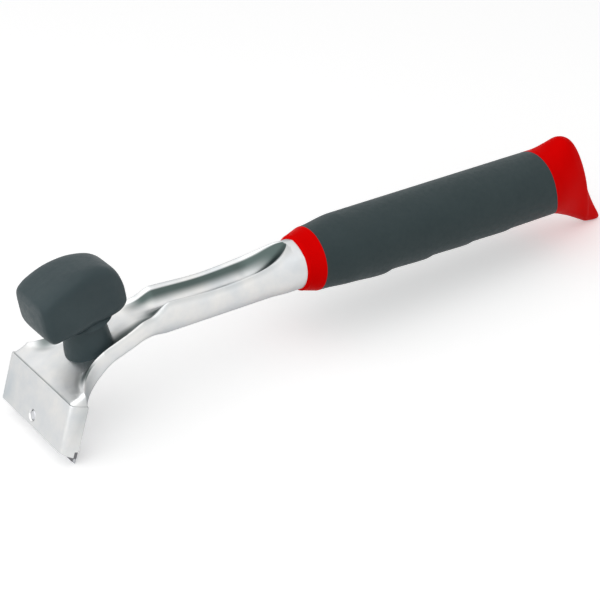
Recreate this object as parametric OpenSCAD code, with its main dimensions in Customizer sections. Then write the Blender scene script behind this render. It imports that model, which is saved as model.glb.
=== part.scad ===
// Two-handed carbide scraper: an aluminium shaft with a clamped reversible blade,
// a two-material handle and a palm knob. Lengths in millimetres.
// The pieces are drawn along the handle's axis, with x = 0 at the front of the red collar,
// +X towards the end cap and +Z up, and at_rest() then lays the tool on its blade and cap.

/* [Head] */
// Width of the head across the tool
head_w = 50; // [40:1:64]
// Height of the head's front face
head_h = 19.7; // [17.5:0.1:22]
// Thickness of the head from front face to back
head_t = 7.8; // [7.4:0.1:9]
// Thickness of the wall in front of the blade
head_wall = 5.8; // [4.6:0.1:6]
// Thickness of the cheek beside each end of the blade
cheek_t = 1.1; // [0.8:0.1:2]
// Lean of the front face, with its lower edge forward
head_lean = 17.8; // [10:0.2:25]
// Distance from the collar to the head's top front edge
head_reach = 116.5; // [108:0.5:130]
// Depth of that edge below the handle's axis
head_drop = 13.3; // [10:0.1:16]
// Rounding of the head's upright edges
head_round = 1.6; // [0.8:0.1:2.4]
// How much lower the head's wall ends beside the blade than at its front face
foot_drop = 2.4; // [1.6:0.1:3]
// How far each cheek stops short of the wall's foot, where the blade's end shows
cheek_up = 3; // [2:0.1:4]

/* [Blade] */
// Height of the blade from edge to edge
blade_h = 18.5; // [17:0.1:20]
// Thickness of the blade
blade_t = 2.2; // [1.6:0.1:2.4]
// Height of the blade that stands below the head
blade_out = 2.7; // [2:0.1:3.5]
// Height of each carbide strip
carbide_h = 2.2; // [1.8:0.1:3]
// Thickness of each carbide strip
carbide_t = 1.4; // [1:0.1:1.5]
// Angle of the bevel that is ground on the strips
grind_angle = 35; // [20:1:45]
// Gap between the blade and each cheek
blade_gap = 0.15; // [0.05:0.05:0.3]

/* [Clamp] */
// Thickness of the clamp plate
plate_t = 3; // [2:0.1:3.6]
// Height of the clamp plate
plate_h = 13.5; // [12:0.5:14]
// Distance from the blade's upper edge to the top of the clamp plate
plate_down = 1.5; // [1:0.1:2.5]
// How much narrower the clamp plate is than the blade
plate_inset = 16; // [14:0.5:22]
// Rounding of the clamp plate's corners
plate_round = 2; // [1:0.1:3]
// Radius of the clamp screw's shank
clamp_screw_r = 2; // [1.8:0.1:2.4]
// Radius of the clamp screw's head
clamp_head_r = 3.5; // [3.2:0.1:4.2]
// Height of the clamp screw's head
clamp_head_h = 4; // [3:0.1:5]
// Thickness of both washers
washer_t = 1; // [0.6:0.1:1.4]
// How far each washer stands past its screw head
washer_lip = 1; // [0.6:0.1:1.2]
// How far the clamp screw's tip lies below the front face
tip_sink = 0.2; // [0.1:0.1:0.8]
// Depth of the countersink round that tip, and of the chamfer on each screw's end
countersink = 0.5; // [0.2:0.1:0.8]

/* [Shaft] */
// Radius of the round shaft
shaft_r = 10.3; // [9.5:0.1:11]
// Radius of the shaft where it enters the collar
shaft_root_r = 10.8; // [10.2:0.1:11.4]
// Depth of the shaft in the collar
socket_d = 6; // [4:0.5:8]
// Distance from the collar to the end of the hollow in the shaft's top
hollow_from = 3.5; // [2:0.5:8]
// Length of the rounded run-out of that hollow
hollow_runout = 20; // [12:1:28]
// Height of the hollow's floor against the handle's axis
hollow_floor = 0.4; // [-2:0.1:3]
// Width of the rounded lip beside the hollow
lip_w = 2.3; // [1.6:0.1:2.6]
// Slope of the flat seat under the knob
seat_slope = 19; // [14:0.5:24]
// Thickness of the neck under the knob
neck_t = 7.8; // [7:0.1:9]
// Thickness of the neck where it meets the head
root_t = 12; // [9:0.1:13]
// Width of the neck before it flares
neck_w = 24.5; // [23:0.5:27]
// Height of the flanges beside the knob
flange_h = 2.3; // [1:0.1:3.5]
// Width of those flanges
flange_w = 1.7; // [1.2:0.1:2.2]
// Distance from the head's top edge to the start of the flare
flare_from = 25; // [22:0.5:27]
// Radius of the flare's curved sides
flare_r = 20; // [17:0.5:22]
// Radius of the tang inside the handle
tang_r = 8.5; // [7:0.1:9.5]
// Length of the tang inside the handle
tang_len = 104; // [70:1:112]

/* [Handle] */
// Length of the red collar that shows in front of the grip
collar_len = 7.8; // [5:0.1:12]
// Thickness of the collar's front rim outside the shaft
collar_rim = 1.2; // [0.8:0.1:1.8]
// Rounding of that rim
collar_round = 1.8; // [0.6:0.1:2.4]
// Radius of the collar where it meets the grip
collar_r = 13.8; // [13:0.1:15]
// Length from the collar's front to the end cap
grip_to = 132; // [122:1:142]
// How much farther the grip reaches under the handle than on top
grip_tongue = 9; // [5:0.5:10]
// Radius of the grip
grip_r = 15.5; // [14.8:0.1:17]
// Thickness of the soft grip over the core
grip_t = 3.5; // [2.4:0.1:4]
// Height of the finger ridges on the grip's underside
ridge_h = 0.9; // [0.3:0.1:1.5]
// Distance from the collar's front to the rear foot of the first ridge
ridge_from = 48; // [40:1:54]
// Distance between two finger ridges
ridge_pitch = 22.5; // [18:0.5:26]
// Number of finger ridges
ridge_count = 4; // [3:1:5]
// Length of the end cap
cap_len = 42.5; // [36:0.5:48]
// Height of the cap's upper lobe over the grip
lobe_h = 4; // [2:0.1:6]
// Depth of the cap's beak below the grip
beak_h = 13; // [9:0.1:15]

/* [Knob] */
// Length of the knob along the tool
knob_len = 37.5; // [34:0.5:44]
// Width of the knob across the tool
knob_w = 24.8; // [21:0.2:30]
// Height of the knob above its stem
knob_h = 24; // [20:0.5:28]
// Distance from the stem's axis forward to the knob's flat front
knob_ahead = 19.6; // [17:0.1:23]
// Radius of the knob's stem
stem_r = 8.6; // [8:0.1:9]
// Radius of the stem's foot on the neck
stem_foot_r = 9.6; // [9.1:0.1:9.8]
// Height of the stem between the neck and the knob
stem_h = 12.7; // [11:0.1:18]
// Lean of the stem towards the head
stem_lean = 8; // [0:0.5:14]
// Distance from the head's top edge to the stem
stem_back = 21.2; // [20:0.1:24]
// Radius of the knob screw's shank
knob_screw_r = 3; // [2.5:0.1:3.2]
// Radius of the knob screw's head
knob_head_r = 5.2; // [4.6:0.1:5.6]
// Height of the knob screw's head
knob_head_h = 3.3; // [2.6:0.1:4]
// Radius of the brass insert
insert_r = 4.6; // [4.2:0.1:5.2]
// Length of the brass insert
insert_len = 14; // [10:0.5:16]

/* [Hidden] */
// Clearance round a shank in its hole, and between pieces that slip into each other
hole_gap = 0.3;
fit_gap = 0.05;
// Length by which a cut runs past the face that it opens
past = 1;
// Sides of the turned pieces and of the small holes
turned = 96;
drilled = 64;
metal = "#c9cccc";
dark_steel = "#84878a";
bright_steel = "#a9acae";
carbide_grey = "#6d7074";
brass_yellow = "#c2a14d";
grip_grey = "#3d484b";
red = "#dd0a0a";

// Foot of the head's wall, and the blade and clamp, measured down and back from its top front edge
wall_low = head_h + foot_drop;
blade_low = wall_low + blade_out;
blade_high = blade_low - blade_h;
blade_mid = blade_low - blade_h / 2;
blade_back = head_wall + blade_t;
blade_w = head_w - 2 * (cheek_t + blade_gap);
plate_w = blade_w - plate_inset;
plate_mid = blade_high + plate_down + plate_h / 2;
plate_back = blade_back + plate_t;
clamp_head_at = plate_back + washer_t;

// Place of the stem along the handle, and the thickness left over the knob screw's washer
stem_x = -head_reach + stem_back;
spot_t = 5;
// Start of the brass insert above the seat, and how far the screw stays short of its end
insert_low = 3;
screw_short = 4;
insert_top = insert_low + insert_len;
screw_end = insert_top - screw_short;

function mix(a, b, t) = a + (b - a) * t;
function ease(t) = let (c = min(max(t, 0), 1)) c * c * (3 - 2 * c);
function fade(x, from, to) = ease((x - from) / (to - from));
// Steep at 0 and level at 1
function dip(t) = (3 * t - pow(t, 3)) / 2;
// The smaller of two values, rounded where they cross
function soft_min(a, b, r) = (a + b - sqrt((a - b) * (a - b) + r * r)) / 2;
// How far an arc of radius r, which leaves a straight line at d = 0, has turned away from it
function arc_off(d, r) = let (c = min(max(d, 0), r)) r - sqrt(r * r - c * c);
// A smooth curve through a list of points, at t from 0 to the last index
function through(p, t) =
    let (last = len(p) - 1, i = min(floor(t), last - 1), u = t - i,
         a = p[max(i - 1, 0)], b = p[i], c = p[i + 1], d = p[min(i + 2, last)])
    b + u / 2 * (c - a + u * (2 * a - 5 * b + 4 * c - d + u * (3 * (b - c) + d - a)));
// Sine or cosine of a superellipse of exponent m: 2 is an ellipse, more is squarer
function bend(v, m) = sign(v) * pow(abs(v), 2 / m);
function centre(ring) = [for (k = [0:2]) (min([for (p = ring) p[k]]) + max([for (p = ring) p[k]])) / 2];

// Skin over a list of rings with equally many points, closed at both ends
module loft(rings) {
    n = len(rings[0]);
    last = len(rings) - 1;
    points = concat([for (ring = rings) each ring], [centre(rings[0]), centre(rings[last])]);
    sides = [for (i = [0:last - 1], j = [0:n - 1])
        let (a = i * n + j, b = i * n + (j + 1) % n)
        each [[a, b, b + n], [a, b + n, a + n]]];
    front = [for (j = [0:n - 1]) [(j + 1) % n, j, len(points) - 2]];
    back = [for (j = [0:n - 1]) [last * n + j, last * n + (j + 1) % n, len(points) - 1]];
    polyhedron(points, concat(sides, front, back));
}

// Round bar along X
module bar(r, from, to) {
    translate([from, 0, 0]) rotate([0, 90, 0]) cylinder(r = r, h = to - from, $fn = turned);
}

// Places a piece by the head: X back from the front face, Z up from its top edge
module at_head() {
    translate([-head_reach, 0, -head_drop]) rotate([0, head_lean, 0]) children();
}

// Places a piece on the stem's axis, with Z up the stem and z = 0 on the seat
module at_stem() {
    translate([stem_x, 0, seat_z(stem_x)]) rotate([0, -stem_lean, 0]) children();
}

// Seat under the knob, the hollow's floor behind it, and the place where they meet
seat_blend = 0.5;
seat_overlap = 2.5;
seat_end = -head_reach + (head_drop + hollow_floor) / tan(seat_slope);
seat_start = seat_end - seat_overlap;
function seat_z(x) = -head_drop + (x + head_reach) * tan(seat_slope);
function hollow_in(x) = min(max((-hollow_from - x) / hollow_runout, 0), 1);
function floor_z(x) = x < seat_start ? seat_z(x)
    : soft_min(mix(shaft_root_r, hollow_floor, dip(hollow_in(x))), seat_z(x), seat_blend);

// The round shaft swells where it enters the collar and turns into the flat neck at the seat
root_swell = [-16, -5];
waist_span = [14, -6];
function shaft_radius(x) = mix(shaft_r, shaft_root_r, fade(x, root_swell[0], root_swell[1]));
function waist(x) = fade(x, seat_end + waist_span[0], seat_end + waist_span[1]);

// The neck flares out to the head
flare_x = -head_reach + flare_from;
flare_edge = 0.4;
function half_w(x) = min(head_w / 2 - flare_edge,
    mix(shaft_radius(x), neck_w / 2, waist(x)) + arc_off(flare_x - x, flare_r));
function under_z(x) =
    mix(-shaft_radius(x), seat_z(x) - mix(neck_t, root_t, fade(x, flare_x, -head_reach)), waist(x));

// The hollow's half-width, its lips, and the flanges that they run into beside the knob
least_opening = 0.4;
lip_span = [13.5, 3];
flange_span = [4, 11];
function opening(x) =
    let (t = hollow_in(x), side = mix(lip_w, flange_w, waist(x)))
    max(least_opening, (half_w(x) - side) * sqrt(1 - (1 - t) * (1 - t)));
function lip_z(x) =
    let (r = shaft_radius(x), y = min(opening(x), r),
         flange = floor_z(x) + flange_h * fade(x, flange_span[0] - head_reach, flange_span[1] - head_reach))
    mix(sqrt(r * r - y * y), flange, fade(x, seat_end + lip_span[0], seat_end + lip_span[1]));
// Exponent of the section: round in the shaft, squarer in the neck and at the head
neck_square = 2.4;
head_square = 4.5;
square_span = [2, -8];
function squareness(x) =
    mix(mix(2, neck_square, waist(x)), head_square,
        fade(x, flare_x + square_span[0], flare_x + square_span[1]));

// Numbers of points on the underside and the outer side of a half-section, the shares of
// the opening at which the floor has its own, and the shares of it that are flat under the
// stem and at the head
under_steps = 7;
side_steps = 4;
floor_shares = [0.975, 0.93, 0.8, 0.6, 0.3];
flat_stem = 0.93;
flat_head = 0.78;

// Height of the floor at share u of the opening: a round trough, or a flat seat with flanges
function trough(u, x) =
    let (flat = mix(flat_head, flat_stem, fade(x, flange_span[1] - head_reach, stem_x)))
    mix(u * u, pow(max(0, (u - flat) / (1 - flat)), 2), waist(x));

// Near half of the shaft's section at x, from the bottom round to the middle of the floor
function half_ring(x) =
    let (w = half_w(x), m = squareness(x), y_lip = opening(x), lip = lip_z(x), low = under_z(x),
         floor_h = floor_z(x), mid = mix(0, (lip + low) / 2, waist(x)),
         up = (lip - mid) / pow(1 - pow(y_lip / w, m), 1 / m),
         t_lip = asin(min(1, pow((lip - mid) / up, m / 2))))
    concat(
        [for (i = [1:under_steps]) let (t = -90 + 90 * i / under_steps)
            [x, -w * bend(cos(t), m), mid + (mid - low) * bend(sin(t), m)]],
        [for (i = [1:side_steps]) let (t = t_lip * i / side_steps)
            [x, -w * bend(cos(t), m), mid + up * bend(sin(t), m)]],
        [for (u = floor_shares) [x, -y_lip * u, mix(floor_h, lip, trough(u, x))]]);
function shaft_ring(x) =
    let (near = half_ring(x))
    concat([[x, 0, under_z(x)]], near, [[x, 0, floor_z(x)]],
           [for (i = [len(near) - 1:-1:0]) [near[i][0], -near[i][1], near[i][2]]]);

// Stations of the shaft from the head to the collar, closer where the form turns
head_station = 0.15;
seat_station = 0.4;
neck_step = 2.2;
shaft_step = 3.4;
runout_steps = 9;
runout_crowd = 1.6;
shaft_stations = concat(
    [for (x = [-head_reach + head_station:neck_step:seat_start]) x],
    [for (x = [seat_start + seat_station:shaft_step:-hollow_from - hollow_runout]) x],
    [for (i = [0:runout_steps]) -hollow_from - hollow_runout * pow(1 - i / runout_steps, runout_crowd)],
    [0, socket_d]);

module head_block() {
    at_head() difference() {
        // Plan of the head with rounded upright edges in front
        translate([0, 0, -wall_low]) linear_extrude(wall_low) {
            translate([head_round, -head_w / 2]) square([head_t - head_round, head_w]);
            translate([0, -head_w / 2 + head_round]) square([head_t, head_w - 2 * head_round]);
            for (side = [-1, 1])
                translate([head_round, side * (head_w / 2 - head_round)])
                    circle(r = head_round, $fn = drilled);
        }
        // Pocket for the blade, open below and behind
        slot_below(head_wall, head_wall + head_t, head_w - 2 * cheek_t, blade_high);
        // Underside, which slopes down from the front face to the blade, and the cheeks' ends
        translate([0, head_w, 0]) rotate([90, 0, 0]) linear_extrude(2 * head_w)
            polygon([[-head_wall, -head_h + foot_drop], [2 * head_wall, -wall_low - foot_drop],
                     [2 * head_wall, -2 * wall_low], [-head_wall, -2 * wall_low]]);
        slot_below(head_wall, head_wall + head_t, head_w + 2 * past, wall_low - cheek_up);
        // Tapped hole for the clamp screw, countersunk in front
        translate([-past, 0, -blade_mid]) rotate([0, 90, 0])
            cylinder(r = clamp_screw_r + fit_gap, h = head_t + past, $fn = drilled);
        translate([0, 0, -blade_mid]) rotate([0, 90, 0])
            cylinder(r1 = clamp_screw_r + countersink, r2 = clamp_screw_r, h = countersink, $fn = drilled);
    }
}

// Space behind the head's front wall, open below: from x = from to x = to, of a width, up to a depth
module slot_below(from, to, width, depth) {
    translate([from, -width / 2, -wall_low - past]) cube([to - from, width, wall_low + past - depth]);
}

// What the neck leaves free for the blade, its clamp plate and screw, and in front of the head
module head_clearance() {
    washer_r = clamp_head_r + washer_lip;
    at_head() {
        slot_below(head_wall, blade_back + fit_gap, head_w - 2 * cheek_t, blade_high);
        slot_below(blade_back, plate_back + hole_gap, plate_w + 2 * hole_gap,
                   plate_mid - plate_h / 2 - hole_gap);
        slot_below(blade_back, clamp_head_at + clamp_head_h + past, 2 * (washer_r + hole_gap),
                   blade_mid - washer_r - hole_gap);
        translate([-head_w, -head_w, -head_w]) cube([head_w, 2 * head_w, 2 * head_w]);
    }
}

// Hole for the knob screw, with a spot face for its washer
module knob_screw_hole() {
    at_stem() {
        translate([0, 0, -neck_t * 2]) cylinder(r = knob_screw_r + hole_gap, h = neck_t * 3, $fn = drilled);
        translate([0, 0, -spot_t - neck_t * 2])
            cylinder(r = knob_head_r + washer_lip + hole_gap, h = neck_t * 2, $fn = drilled);
    }
}

module shaft() {
    color(metal) difference() {
        union() {
            difference() {
                loft([for (x = shaft_stations) shaft_ring(x)]);
                head_clearance();
            }
            head_block();
            bar(tang_r, socket_d - past, tang_len);
        }
        knob_screw_hole();
    }
}

// Half-profile of the collar and the sleeve behind it, as [radius, place along the axis]
core_r = grip_r - grip_t;
module core_profile() {
    front_r = shaft_root_r + collar_rim;
    core_to = grip_to + grip_tongue;
    polygon([[0, 0], [front_r - collar_round, 0],
        each [for (a = [15:15:75]) [front_r - collar_round * (1 - sin(a)), collar_round * (1 - cos(a))]],
        [front_r, collar_round], [collar_r, collar_len], [core_r, collar_len],
        [core_r, core_to], [0, core_to]]);
}

// How far the grip's rear edge lies behind its top, for a point of the edge whose height is
// s, from 1 at the top to -1 underneath
edge_power = 3;
function edge_bow(s) = grip_tongue * pow((1 - s) / 2, edge_power);

// End cap: its back line and belly line as [x, z] from the grip to the hollow back, and its
// half-width between them. The lobe rises over the grip and the beak hangs behind and below it.
beak_z = -grip_r - beak_h;
function cap_at(along, height) = [grip_to + cap_len * along, height];
cap_back = [
    cap_at(0, grip_r), cap_at(0.14, grip_r + lobe_h * 0.17), cap_at(0.26, grip_r + lobe_h * 0.6),
    cap_at(0.37, grip_r + lobe_h), cap_at(0.48, grip_r + lobe_h * 0.52),
    cap_at(0.558, mix(grip_r, beak_z, 0.06)), cap_at(0.626, mix(grip_r, beak_z, 0.2)),
    cap_at(0.688, mix(grip_r, beak_z, 0.34)), cap_at(0.746, mix(grip_r, beak_z, 0.475))];
cap_belly = [
    [grip_to + grip_tongue, -grip_r], cap_at(0.31, -grip_r - beak_h * 0.12),
    cap_at(0.42, -grip_r - beak_h * 0.28), cap_at(0.56, -grip_r - beak_h * 0.49),
    cap_at(0.74, -grip_r - beak_h * 0.8), cap_at(0.85, -grip_r - beak_h * 0.965), cap_at(1.04, beak_z),
    cap_at(0.975, mix(grip_r, beak_z, 0.87)), cap_at(0.824, mix(grip_r, beak_z, 0.65))];
cap_half = grip_r * [1, 0.92, 0.82, 0.71, 0.59, 0.425, 0.27, 0.14, 0.04];
// How far the middle of a section is drawn in towards the grip
cap_hollow = cap_len * [0, 0, 0, 0, 0, 0.04, 0.07, 0.05, 0];
cap_steps = 28;
// The first section is bowed like the grip's edge, and none from this one on
straight_from = 3;
handle_sides = 36;
function cap_ring(t) =
    let (top = through(cap_back, t), low = through(cap_belly, t), w = through(cap_half, t),
         hollow = through(cap_hollow, t), bowed = max(0, 1 - t / straight_from))
    [for (j = [0:handle_sides - 1])
        let (a = 360 * j / handle_sides, s = sin(a), up = (1 + s) / 2,
             bow = bowed * (edge_bow(s) - grip_tongue * (1 - up)) - hollow * (1 - s * s))
        [mix(low[0], top[0], up) + bow, -w * cos(a), mix(low[1], top[1], up)]];
cap_rings = [for (i = [0:cap_steps]) cap_ring(i / cap_steps * (len(cap_back) - 1))];

module handle_core() {
    color(red) difference() {
        union() {
            rotate([0, 90, 0]) rotate_extrude($fn = turned) core_profile();
            loft(cap_rings);
        }
        bar(shaft_root_r + fit_gap, -past, socket_d + fit_gap);
        bar(tang_r + fit_gap, 0, tang_len + fit_gap);
    }
}

// Grip: it swells from the collar, sooner on top than below, and its underside has finger
// ridges that rise slowly, drop quickly and grow lower towards the cap
swell_top = 16;
swell_low = 32;
ridge_crest = 0.72;
ridge_fall = 0.2;
function ridge_form(u) = u < ridge_crest ? ease(u / ridge_crest) : 1 - fade(u, ridge_crest, 1);
function ridge(x) =
    let (k = (x - ridge_from) / ridge_pitch + 1)
    k < 0 || k > ridge_count ? 0 : ridge_h * pow(1 - ridge_fall, floor(k)) * ridge_form(k - floor(k));
function swell(x, length) = mix(collar_r, grip_r, fade(x, collar_len, collar_len + length));
grip_steps = 46;
function grip_ring(share) =
    [for (j = [0:handle_sides - 1])
        let (a = 360 * j / handle_sides, s = sin(a), x = mix(collar_len, grip_to + edge_bow(s), share),
             w = swell(x, swell_top), low = swell(x, swell_low) + ridge(x))
        [x, -w * cos(a), (s > 0 ? w : mix(w, low, s * s)) * s]];

module grip() {
    color(grip_grey) difference() {
        loft([for (i = [0:grip_steps]) grip_ring(i / grip_steps)]);
        bar(core_r, collar_len - past, grip_to + grip_tongue + past);
    }
}

// Knob along X in the stem's frame, from its flat front to its rounded back:
// share of its length, share of its half-width, and shares of its height for base and top
knob_stations = [
    [0, 0.76, 0.19, 0.62], [0.02, 0.9, 0.11, 0.745], [0.07, 0.985, 0.01, 0.81], [0.17, 1.01, 0, 0.885],
    [0.35, 1, 0, 0.962], [0.55, 0.93, 0, 0.985], [0.72, 0.85, -0.01, 0.94], [0.84, 0.79, 0, 0.855],
    [0.92, 0.68, 0.03, 0.72], [0.975, 0.5, 0.08, 0.45], [1, 0.2, 0.15, 0.27]];
knob_square = 4;
knob_steps = 30;
knob_sides = 32;
function knob_ring(t) =
    let (k = through(knob_stations, t), x = knob_len * k[0] - knob_ahead, w = knob_w / 2 * k[1],
         low = stem_h + knob_h * k[2], top = stem_h + knob_h * k[3])
    [for (j = [0:knob_sides - 1]) let (a = 360 * j / knob_sides)
        [x, -w * bend(cos(a), knob_square), mix(low, top, (1 + bend(sin(a), knob_square)) / 2)]];

// The seat's plane as a block that cuts the stem off flush with it
module below_seat() {
    translate([stem_x, 0, seat_z(stem_x)]) rotate([0, -seat_slope, 0])
        translate([-head_w, -head_w, -2 * head_w]) cube(2 * head_w);
}

// Half-profile of the stem, from its foot to its fillet into the knob
stem_fillet = 3;
foot_share = 0.63;
module stem_profile() {
    polygon([[0, -stem_r], [stem_foot_r, -stem_r], [stem_foot_r, 0],
        [stem_r, stem_h * foot_share], [stem_r, stem_h - stem_fillet],
        each [for (a = [15:15:75])
            [stem_r + stem_fillet * (1 - cos(a)), stem_h - stem_fillet * (1 - sin(a))]],
        [stem_r + stem_fillet, stem_h], [stem_r, stem_h + stem_fillet], [0, stem_h + stem_fillet]]);
}

module knob() {
    color(grip_grey) difference() {
        at_stem() {
            loft([for (i = [0:knob_steps]) knob_ring(i / knob_steps * (len(knob_stations) - 1))]);
            rotate_extrude($fn = turned) stem_profile();
        }
        below_seat();
        at_stem() translate([0, 0, -stem_r])
            cylinder(r = insert_r + fit_gap, h = stem_r + insert_top, $fn = drilled);
    }
}

module knob_insert() {
    color(brass_yellow) at_stem() difference() {
        translate([0, 0, insert_low]) cylinder(r = insert_r, h = insert_len, $fn = drilled);
        translate([0, 0, insert_low - past])
            cylinder(r = knob_screw_r + fit_gap, h = insert_len, $fn = drilled);
    }
}

module washer(inner_r, outer_r) {
    difference() {
        cylinder(r = outer_r, h = washer_t, $fn = drilled);
        translate([0, 0, -past]) cylinder(r = inner_r, h = washer_t + 2 * past, $fn = drilled);
    }
}

// Socket screw with its head below z = 0 and its chamfered shank up to z = length
socket_share = 0.55;
socket_depth = 0.6;
head_taper = 0.12;
module socket_screw(shank_r, head_r, head_h, length) {
    difference() {
        union() {
            translate([0, 0, -head_h])
                cylinder(r1 = head_r - head_h * head_taper, r2 = head_r, h = head_h, $fn = drilled);
            cylinder(r = shank_r, h = length - countersink, $fn = drilled);
            translate([0, 0, length - countersink])
                cylinder(r1 = shank_r, r2 = shank_r - countersink, h = countersink, $fn = drilled);
        }
        translate([0, 0, -head_h - past])
            cylinder(r = head_r * socket_share, h = past + head_h * socket_depth, $fn = 6);
    }
}

module knob_washer() {
    color(bright_steel) at_stem() translate([0, 0, -spot_t - washer_t])
        washer(knob_screw_r + hole_gap, knob_head_r + washer_lip);
}

module knob_screw() {
    under = spot_t + washer_t;
    color(dark_steel) at_stem() translate([0, 0, -under])
        socket_screw(knob_screw_r, knob_head_r, knob_head_h, under + screw_end);
}

module clamp_plate() {
    color(bright_steel) at_head() difference() {
        translate([blade_back, 0, -plate_mid]) rotate([90, 0, 90]) linear_extrude(plate_t) {
            square([plate_w - 2 * plate_round, plate_h], center = true);
            square([plate_w, plate_h - 2 * plate_round], center = true);
            for (y = [-1, 1], z = [-1, 1])
                translate([y * (plate_w / 2 - plate_round), z * (plate_h / 2 - plate_round)])
                    circle(r = plate_round, $fn = drilled);
        }
        translate([blade_back - past, 0, -blade_mid]) rotate([0, 90, 0])
            cylinder(r = clamp_screw_r + hole_gap, h = plate_t + 2 * past, $fn = drilled);
    }
}

module clamp_washer() {
    color(bright_steel) at_head() translate([plate_back, 0, -blade_mid]) rotate([0, 90, 0])
        washer(clamp_screw_r + hole_gap, clamp_head_r + washer_lip);
}

module clamp_screw() {
    color(bright_steel) at_head() translate([clamp_head_at, 0, -blade_mid]) rotate([0, -90, 0])
        socket_screw(clamp_screw_r, clamp_head_r, clamp_head_h, clamp_head_at - tip_sink);
}

// Sections of the blade in the head's X and Z, drawn for its lower edge
grind_rise = carbide_t * tan(grind_angle);
relief_x = head_wall - past;
module strip_section() {
    front = blade_back - carbide_t;
    polygon([[blade_back, -blade_low], [blade_back, -blade_low + carbide_h],
             [front, -blade_low + carbide_h], [front, -blade_low + grind_rise]]);
}
module relief_section() {
    polygon([[blade_back, -blade_low - past], [blade_back, -blade_low],
             [relief_x, -blade_low + (blade_back - relief_x) * tan(grind_angle)],
             [relief_x, -blade_low - past]]);
}

// Turns a section for the blade's lower edge into the one for its upper edge
module upper_edge() {
    translate([0, -2 * blade_mid]) mirror([0, 1]) children();
}

// Draws a section of the head's X and Z as a bar across the tool
module across(width) {
    at_head() translate([0, width / 2, 0]) rotate([90, 0, 0]) linear_extrude(width) children();
}

module blade_body() {
    color(dark_steel) difference() {
        across(blade_w) difference() {
            translate([head_wall, -blade_low]) square([blade_t, blade_h]);
            strip_section();
            relief_section();
            upper_edge() strip_section();
            upper_edge() relief_section();
        }
        at_head() translate([head_wall - past, 0, -blade_mid]) rotate([0, 90, 0])
            cylinder(r = clamp_screw_r + hole_gap, h = blade_t + 2 * past, $fn = drilled);
    }
}

module upper_carbide() {
    color(carbide_grey) across(blade_w) upper_edge() strip_section();
}

module lower_carbide() {
    color(carbide_grey) across(blade_w) strip_section();
}

// The tool lies on the blade's lower edge, which is the origin, and on the end cap's beak
edge_x = -head_reach + blade_back * cos(head_lean) - blade_low * sin(head_lean);
edge_z = -head_drop - blade_back * sin(head_lean) - blade_low * cos(head_lean);
rest_tilt = atan(min([for (ring = cap_rings, p = ring) (p[2] - edge_z) / (p[0] - edge_x)]));
module at_rest() {
    rotate([0, rest_tilt, 0]) translate([-edge_x, 0, -edge_z]) children();
}

at_rest() shaft();
at_rest() handle_core();
at_rest() grip();
at_rest() knob();
at_rest() knob_insert();
at_rest() knob_screw();
at_rest() knob_washer();
at_rest() clamp_plate();
at_rest() clamp_screw();
at_rest() clamp_washer();
at_rest() blade_body();
at_rest() upper_carbide();
at_rest() lower_carbide();
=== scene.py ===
import math

import bpy
from mathutils import Matrix, Vector


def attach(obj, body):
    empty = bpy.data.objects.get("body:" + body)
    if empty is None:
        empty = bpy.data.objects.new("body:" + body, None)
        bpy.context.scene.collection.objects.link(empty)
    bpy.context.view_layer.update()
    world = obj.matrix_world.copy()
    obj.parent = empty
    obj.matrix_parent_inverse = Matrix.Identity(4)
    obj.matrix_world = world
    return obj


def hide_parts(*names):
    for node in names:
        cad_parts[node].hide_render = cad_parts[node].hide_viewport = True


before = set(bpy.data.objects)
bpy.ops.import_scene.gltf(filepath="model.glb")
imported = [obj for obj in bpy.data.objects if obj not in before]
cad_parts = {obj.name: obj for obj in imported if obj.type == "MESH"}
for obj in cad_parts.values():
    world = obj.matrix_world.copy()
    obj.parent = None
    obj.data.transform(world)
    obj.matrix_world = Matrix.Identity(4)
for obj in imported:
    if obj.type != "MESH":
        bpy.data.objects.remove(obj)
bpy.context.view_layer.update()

# Sizes in millimetres, the same as the part's own. x = 0 is the front of the red collar on the
# handle's axis, and the part then lies with its cutting edge at the origin.
HEAD_W = 50.0
HEAD_H = 19.7
HEAD_T = 7.8
HEAD_WALL = 5.8
CHEEK_T = 1.1
HEAD_LEAN = math.radians(17.8)
HEAD_REACH = 116.5
HEAD_DROP = 13.3
HEAD_ROUND = 1.6
FOOT_DROP = 2.4
CHEEK_UP = 3.0
BLADE_H = 18.5
BLADE_T = 2.2
BLADE_OUT = 2.7
BLADE_END_GAP = 0.15
PLATE_T = 3.0
PLATE_H = 13.5
PLATE_DOWN = 1.5
PLATE_INSET = 16.0
CLAMP_SCREW_R = 2.0
CLAMP_HEAD_R = 3.5
CLAMP_HEAD_H = 4.0
WASHER_T = 1.0
WASHER_LIP = 1.0
COUNTERSINK = 0.5
SHAFT_R = 10.3
ROOT_R = 10.8
SOCKET_D = 6.0
HOLLOW_FROM = 3.5
HOLLOW_RUNOUT = 20.0
HOLLOW_FLOOR = 0.4
LIP_W = 2.3
SEAT_SLOPE = math.radians(19)
NECK_T = 7.8
ROOT_T = 12.0
NECK_W = 24.5
FLANGE_H = 2.3
FLANGE_W = 1.7
FLARE_FROM = 25.0
FLARE_R = 20.0
TANG_R = 8.5
TANG_LEN = 104.0
COLLAR_LEN = 7.8
COLLAR_RIM = 1.2
COLLAR_ROUND = 1.8
COLLAR_R = 13.8
GRIP_TO = 132.0
GRIP_TONGUE = 9.0
GRIP_R = 15.5
GRIP_T = 3.5
RIDGE_H = 1.4
RIDGE_FROM = 45.3
RIDGE_PITCH = 22.5
RIDGE_COUNT = 4
CAP_LEN = 42.5
LOBE_H = 4.0
BEAK_H = 13.0
KNOB_LEN = 37.5
KNOB_W = 24.8
KNOB_H = 24.0
KNOB_AHEAD = 19.6
STEM_R = 8.6
STEM_FOOT_R = 9.6
STEM_H = 12.7
STEM_LEAN = math.radians(8)
STEM_BACK = 21.2
KNOB_SCREW_R = 3.0
KNOB_HEAD_R = 5.2
INSERT_R = 4.6
INSERT_LOW = 3.0
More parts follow.
